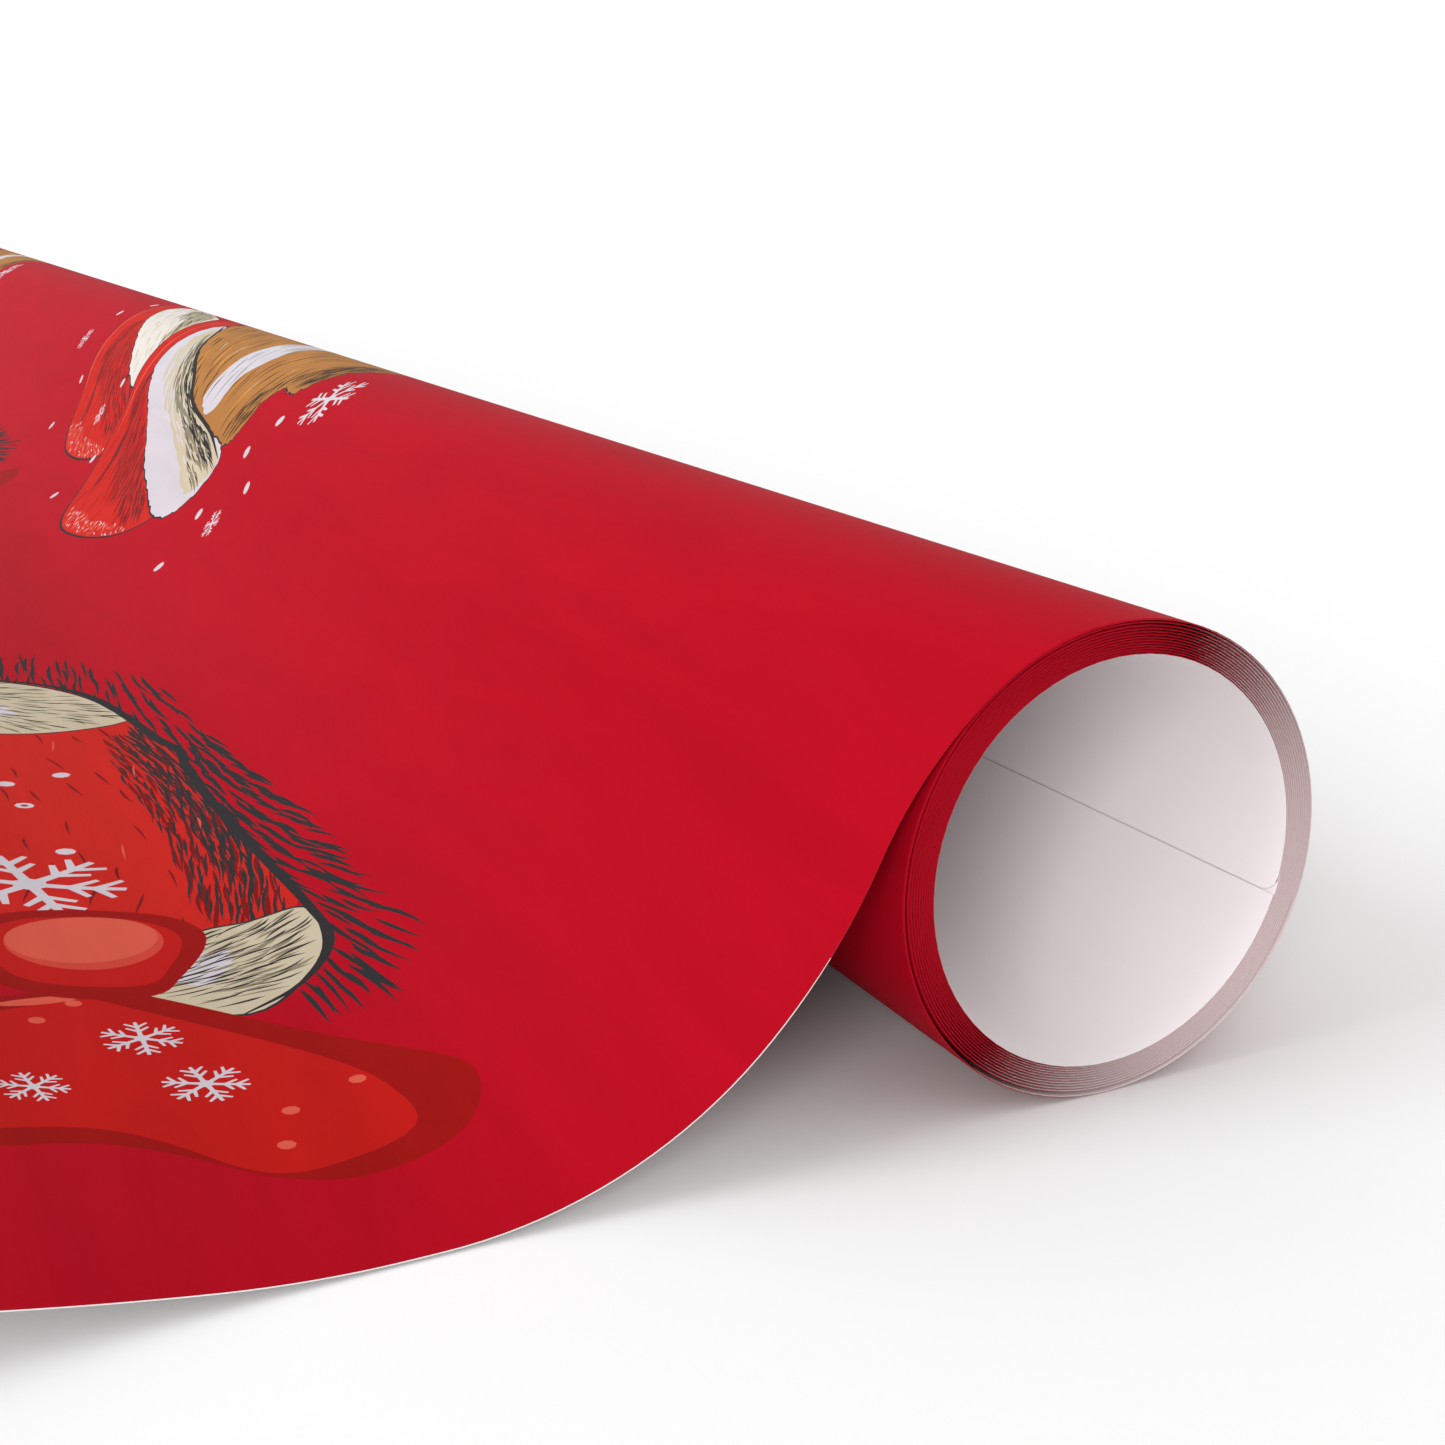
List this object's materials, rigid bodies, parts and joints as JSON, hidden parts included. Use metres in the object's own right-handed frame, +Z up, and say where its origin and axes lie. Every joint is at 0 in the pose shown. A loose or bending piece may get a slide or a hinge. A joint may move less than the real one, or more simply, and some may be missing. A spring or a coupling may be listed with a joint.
{
  "type": "gift wrapping paper roll",
  "caption": "Coreless roll of satin gift wrapping paper, its turns separate, with the free leaf of the sheet coming over the top and down to the table in front.",
  "frame": {"origin": "centre of the footprint of roll and leaf together, on the table", "axes": "+X along the roll's axis, towards the end with the seam's rounded corner; the free leaf lies towards -Y; +Z up"},
  "size_m": [0.762, 0.1394, 0.0386],
  "materials": {
    "printed_paper": "satin",
    "paper_back": "matte"
  },
  "bodies": {
    "outer_wrap": {"turn_12": "printed_paper", "leaf_crown": "printed_paper"},
    "coil_11": {"turn_11": "printed_paper"},
    "coil_10": {"turn_10": "printed_paper"},
    "coil_09": {"turn_09": "printed_paper"},
    "coil_08": {"turn_08": "printed_paper"},
    "coil_07": {"turn_07": "printed_paper"},
    "coil_06": {"turn_06": "printed_paper"},
    "coil_05": {"turn_05": "printed_paper"},
    "coil_04": {"turn_04": "printed_paper"},
    "coil_03": {"turn_03": "printed_paper"},
    "coil_02": {"turn_02": "printed_paper"},
    "coil_01": {"turn_01": "paper_back"},
    "leaf_drop": {"leaf_drop": "printed_paper"},
    "leaf_foot": {"leaf_foot": "printed_paper"},
    "leaf_lip": {"leaf_lip": "printed_paper"}
  },
  "joints": [
    {"name": "coil_slide", "type": "slide", "parent": "outer_wrap", "child": "coil_11", "axis": [1, 0, 0], "range_m": [-0.004, 0.008]},
    {"name": "coil_twist", "type": "hinge", "parent": "coil_11", "child": "coil_10", "pos_m": [0, 0.05026, 0.0192], "axis": [1, 0, 0], "range_deg": [-10, 30]},
    {"name": "coil_slide_09", "type": "slide", "parent": "coil_10", "child": "coil_09", "axis": [1, 0, 0], "range_m": [-0.004, 0.008]},
    {"name": "coil_twist_08", "type": "hinge", "parent": "coil_09", "child": "coil_08", "pos_m": [0, 0.05026, 0.0192], "axis": [1, 0, 0], "range_deg": [-10, 30]},
    {"name": "coil_slide_07", "type": "slide", "parent": "coil_08", "child": "coil_07", "axis": [1, 0, 0], "range_m": [-0.004, 0.008]},
    {"name": "coil_twist_06", "type": "hinge", "parent": "coil_07", "child": "coil_06", "pos_m": [0, 0.05026, 0.0192], "axis": [1, 0, 0], "range_deg": [-10, 30]},
    {"name": "coil_slide_05", "type": "slide", "parent": "coil_06", "child": "coil_05", "axis": [1, 0, 0], "range_m": [-0.004, 0.008]},
    {"name": "coil_twist_04", "type": "hinge", "parent": "coil_05", "child": "coil_04", "pos_m": [0, 0.05026, 0.0192], "axis": [1, 0, 0], "range_deg": [-10, 30]},
    {"name": "coil_slide_03", "type": "slide", "parent": "coil_04", "child": "coil_03", "axis": [1, 0, 0], "range_m": [-0.004, 0.008]},
    {"name": "coil_twist_02", "type": "hinge", "parent": "coil_03", "child": "coil_02", "pos_m": [0, 0.05026, 0.0192], "axis": [1, 0, 0], "range_deg": [-10, 30]},
    {"name": "coil_slide_01", "type": "slide", "parent": "coil_02", "child": "coil_01", "axis": [1, 0, 0], "range_m": [-0.004, 0.008]},
    {"name": "leaf_lift", "type": "hinge", "parent": "outer_wrap", "child": "leaf_drop", "pos_m": [0, 0.02893, 0.02295], "axis": [-1, 0, 0], "range_deg": [0, 55], "stiffness_Nm_per_rad": 0.02},
    {"name": "leaf_flex", "type": "hinge", "parent": "leaf_drop", "child": "leaf_foot", "pos_m": [0, 0.01267, 0.00478], "axis": [-1, 0, 0], "range_deg": [0, 40], "stiffness_Nm_per_rad": 0.02},
    {"name": "lip_curl", "type": "hinge", "parent": "leaf_foot", "child": "leaf_lip", "pos_m": [0, -0.01167, 0.00016], "axis": [-1, 0, 0], "range_deg": [-6, 60], "stiffness_Nm_per_rad": 0.02, "springref_deg": 2.58}
  ],
  "couplings": [
    {"joint": "coil_slide_09", "follows": "coil_slide", "ratio": 1},
    {"joint": "coil_twist_08", "follows": "coil_twist", "ratio": 1},
    {"joint": "coil_slide_07", "follows": "coil_slide", "ratio": 1},
    {"joint": "coil_twist_06", "follows": "coil_twist", "ratio": 1},
    {"joint": "coil_slide_05", "follows": "coil_slide", "ratio": 1},
    {"joint": "coil_twist_04", "follows": "coil_twist", "ratio": 1},
    {"joint": "coil_slide_03", "follows": "coil_slide", "ratio": 1},
    {"joint": "coil_twist_02", "follows": "coil_twist", "ratio": 1},
    {"joint": "coil_slide_01", "follows": "coil_slide", "ratio": 1}
  ]
}
